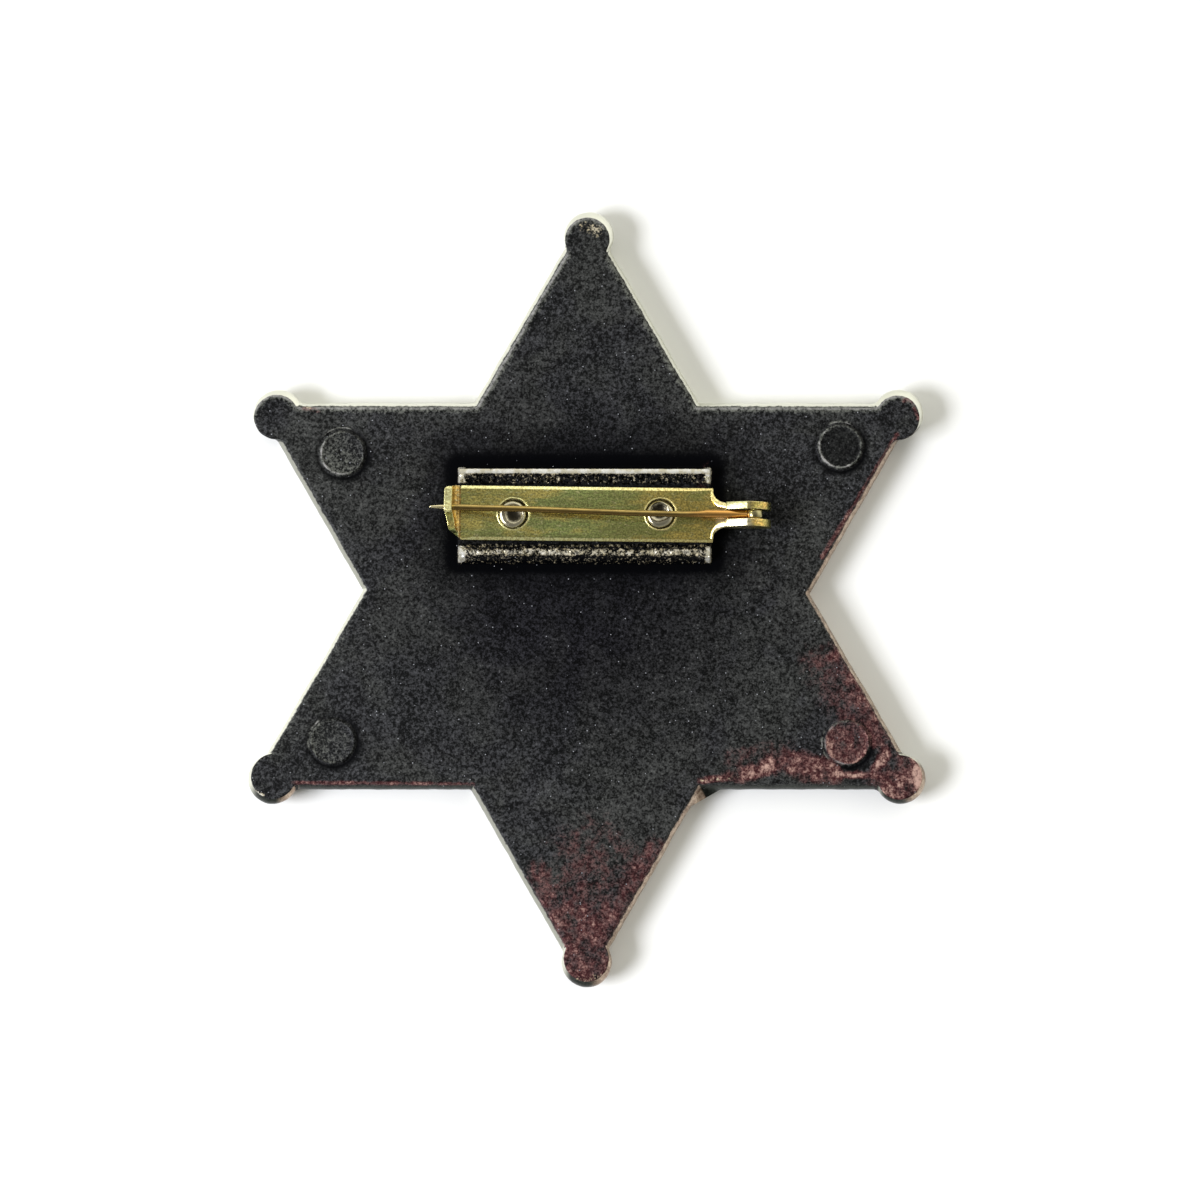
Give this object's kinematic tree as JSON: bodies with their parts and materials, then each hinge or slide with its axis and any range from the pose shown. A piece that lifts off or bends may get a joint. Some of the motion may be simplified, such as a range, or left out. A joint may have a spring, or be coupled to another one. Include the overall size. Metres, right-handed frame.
{
  "type": "six-point star badge with bar pin",
  "caption": "Cast six-point star badge with ball tips and a plain rimmed front; a brass bar pin with a hinged needle and hook catch sits on a raised pad on the back.",
  "frame": {"origin": "the star's centre on the plane that the front rim and the domed balls rest on", "axes": "+Z out of the badge's back, +Y to the top point, +X to the right seen from the back, where the pin's hinge is"},
  "size_m": [0.0656, 0.075, 0.0072],
  "materials": {
    "cast_metal": "blackened zinc casting, mottled, with silver crests and coppery wear on two points",
    "bar_brass": "plated sheet brass, olive gold, lightly tarnished with bright cut edges",
    "needle_wire": "drawn wire with a worn coppery plating",
    "rivet_brass": "plated, dull"
  },
  "bodies": {
    "badge": {"star_body": "cast_metal", "pin_plate": "bar_brass", "hinge_rivet": "rivet_brass"},
    "needle": {"needle": "needle_wire"}
  },
  "joints": [
    {"name": "pin_swing", "type": "hinge", "parent": "badge", "child": "needle", "pos_m": [0.016, 0.00767, 0.00607], "axis": [0.0105, 0.9999, 0], "range_deg": [0, 110]}
  ]
}
